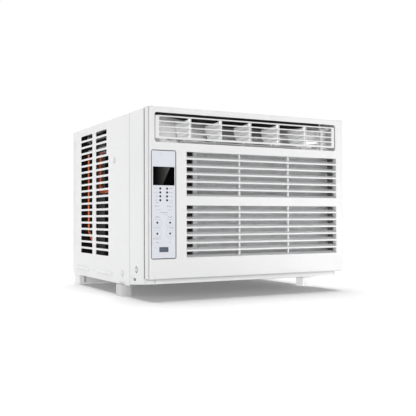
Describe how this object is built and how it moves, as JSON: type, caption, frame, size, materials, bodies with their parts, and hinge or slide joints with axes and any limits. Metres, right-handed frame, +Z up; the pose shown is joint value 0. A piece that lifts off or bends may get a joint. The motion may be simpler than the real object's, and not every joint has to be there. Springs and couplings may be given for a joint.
{
  "type": "window air conditioner",
  "caption": "White window air conditioner with slotted front grille, tilting louver outlet, touch-key panel, slotted steel case and feet.",
  "frame": {"origin": "middle of the outer box, on the surface that the feet stand on", "axes": "+Z up, the room side (grille and louvers) faces -Y, +X to the right as seen from the room"},
  "size_m": [0.488, 0.488, 0.3815],
  "materials": {
    "case_paint": "satin powder coat",
    "pan_paint": "satin powder coat",
    "panel_plastic": "fine moulded texture",
    "fascia_plastic": "fine moulded texture",
    "louver_plastic": "smooth moulded",
    "vane_plastic": "smooth moulded",
    "overlay_film": "printed film, semi-gloss",
    "key_film": "printed film, semi-gloss",
    "black_window": "high gloss",
    "smoked_window": "high gloss",
    "light_lens": "gloss",
    "board": "solder mask",
    "box_plastic": "moulded",
    "foam": "expanded foam",
    "scroll_plastic": "moulded",
    "filter_plastic": "moulded",
    "filter_net": "fine woven net",
    "fin_aluminium": "thin fins",
    "galvanised": "galvanised spangle",
    "copper": "drawn copper tube",
    "aged_copper": "dull copper tube",
    "black_steel": "semi-gloss black paint",
    "motor_steel": "pressed steel",
    "shaft_steel": "ground",
    "fan_plastic": "moulded",
    "shroud_plastic": "moulded",
    "can_aluminium": "drawn can",
    "terminal_plastic": "moulded",
    "grommet_rubber": "moulded",
    "foot_plastic": "moulded",
    "guard_paint": "satin powder coat",
    "screw_steel": "zinc plated",
    "drain_plastic": "moulded"
  },
  "bodies": {
    "chassis": {"accumulator": "black_steel", "base_pan": "pan_paint", "blower_inlet_plate": "foam", "blower_scroll": "scroll_plastic", "bulkhead": "galvanised", "capacitor_strap": "galvanised", "capillary_tube": "copper", "case_screws": "screw_steel", "compressor": "black_steel", "compressor_grommets": "grommet_rubber", "compressor_studs": "screw_steel", "condenser_end_plates": "galvanised", "condenser_fins": "fin_aluminium", "condenser_tubes": "aged_copper", "control_board": "board", "control_box": "box_plastic", "control_overlay": "overlay_film", "cord_grommet": "grommet_rubber", "discharge_pipe": "copper", "display_window": "black_window", "drain_spout": "drain_plastic", "evaporator_end_plates": "galvanised", "evaporator_fins": "fin_aluminium", "evaporator_tubes": "copper", "fan_motor": "motor_steel", "fan_shroud": "shroud_plastic", "filter_drier": "copper", "foot_screws": "screw_steel", "front_fascia": "fascia_plastic", "front_foot_left": "foot_plastic", "front_foot_right": "foot_plastic", "indicator_lights": "light_lens", "liquid_pipe": "copper", "motor_bracket": "galvanised", "outer_case": "case_paint", "outlet_duct": "foam", "panel_frame": "panel_plastic", "rear_foot": "foot_plastic", "rear_guard": "guard_paint", "receiver_window": "smoked_window", "run_capacitor": "can_aluminium", "suction_pipe": "copper", "terminal_cover": "terminal_plastic", "top_brace": "galvanised"},
    "louver": {"louver_frame": "louver_plastic"},
    "vane_link": {"vane_link_bar": "louver_plastic"},
    "filter": {"filter_frame": "filter_plastic", "filter_mesh": "filter_net"},
    "fan": {"motor_shaft": "shaft_steel", "blower_wheel": "fan_plastic", "condenser_fan": "fan_plastic"},
    "temperature_up_key": {"temperature_up_button": "key_film"},
    "temperature_down_key": {"temperature_down_button": "key_film"},
    "mode_key": {"mode_button": "key_film"},
    "power_key": {"power_button": "key_film"},
    "vane_1": {"vertical_vane_1": "vane_plastic"},
    "vane_2": {"vertical_vane_2": "vane_plastic"},
    "vane_3": {"vertical_vane_3": "vane_plastic"},
    "vane_4": {"vertical_vane_4": "vane_plastic"},
    "vane_5": {"vertical_vane_5": "vane_plastic"}
  },
  "joints": [
    {"name": "louver_tilt", "type": "hinge", "parent": "chassis", "child": "louver", "pos_m": [0, -0.224, 0.34125], "axis": [1, 0, 0], "range_deg": [-14, 14]},
    {"name": "vane_1_swing", "type": "hinge", "parent": "louver", "child": "vane_1", "pos_m": [-0.1454, -0.2354, 0.34125], "axis": [0, 0, 1], "range_deg": [-25, 25]},
    {"name": "vane_2_swing", "type": "hinge", "parent": "louver", "child": "vane_2", "pos_m": [-0.0752, -0.2354, 0.34125], "axis": [0, 0, 1], "range_deg": [-25, 25]},
    {"name": "vane_3_swing", "type": "hinge", "parent": "louver", "child": "vane_3", "pos_m": [-0.005, -0.2354, 0.34125], "axis": [0, 0, 1], "range_deg": [-25, 25]},
    {"name": "vane_4_swing", "type": "hinge", "parent": "louver", "child": "vane_4", "pos_m": [0.0652, -0.2354, 0.34125], "axis": [0, 0, 1], "range_deg": [-25, 25]},
    {"name": "vane_5_swing", "type": "hinge", "parent": "louver", "child": "vane_5", "pos_m": [0.1354, -0.2354, 0.34125], "axis": [0, 0, 1], "range_deg": [-25, 25]},
    {"name": "vane_link_slide", "type": "slide", "parent": "louver", "child": "vane_link", "axis": [1, 0, 0], "range_m": [-0.012, 0.012]},
    {"name": "filter_slide", "type": "slide", "parent": "chassis", "child": "filter", "axis": [1, 0, 0], "range_m": [0, 0.34]},
    {"name": "fan_spin", "type": "hinge", "parent": "chassis", "child": "fan", "pos_m": [0.044, -0.044, 0.1945], "axis": [0, 1, 0], "continuous": true},
    {"name": "temperature_up_press", "type": "slide", "parent": "chassis", "child": "temperature_up_key", "axis": [0, 1, 0], "range_m": [0, 0.0006], "stiffness_N_per_m": 400},
    {"name": "temperature_down_press", "type": "slide", "parent": "chassis", "child": "temperature_down_key", "axis": [0, 1, 0], "range_m": [0, 0.0006], "stiffness_N_per_m": 400},
    {"name": "mode_press", "type": "slide", "parent": "chassis", "child": "mode_key", "axis": [0, 1, 0], "range_m": [0, 0.0006], "stiffness_N_per_m": 400},
    {"name": "power_press", "type": "slide", "parent": "chassis", "child": "power_key", "axis": [0, 1, 0], "range_m": [0, 0.0006], "stiffness_N_per_m": 400}
  ],
  "couplings": [
    {"joint": "vane_1_swing", "follows": "vane_3_swing", "ratio": 1},
    {"joint": "vane_2_swing", "follows": "vane_3_swing", "ratio": 1},
    {"joint": "vane_4_swing", "follows": "vane_3_swing", "ratio": 1},
    {"joint": "vane_5_swing", "follows": "vane_3_swing", "ratio": 1},
    {"joint": "vane_link_slide", "follows": "vane_3_swing", "m_per_rad": -0.0234}
  ]
}
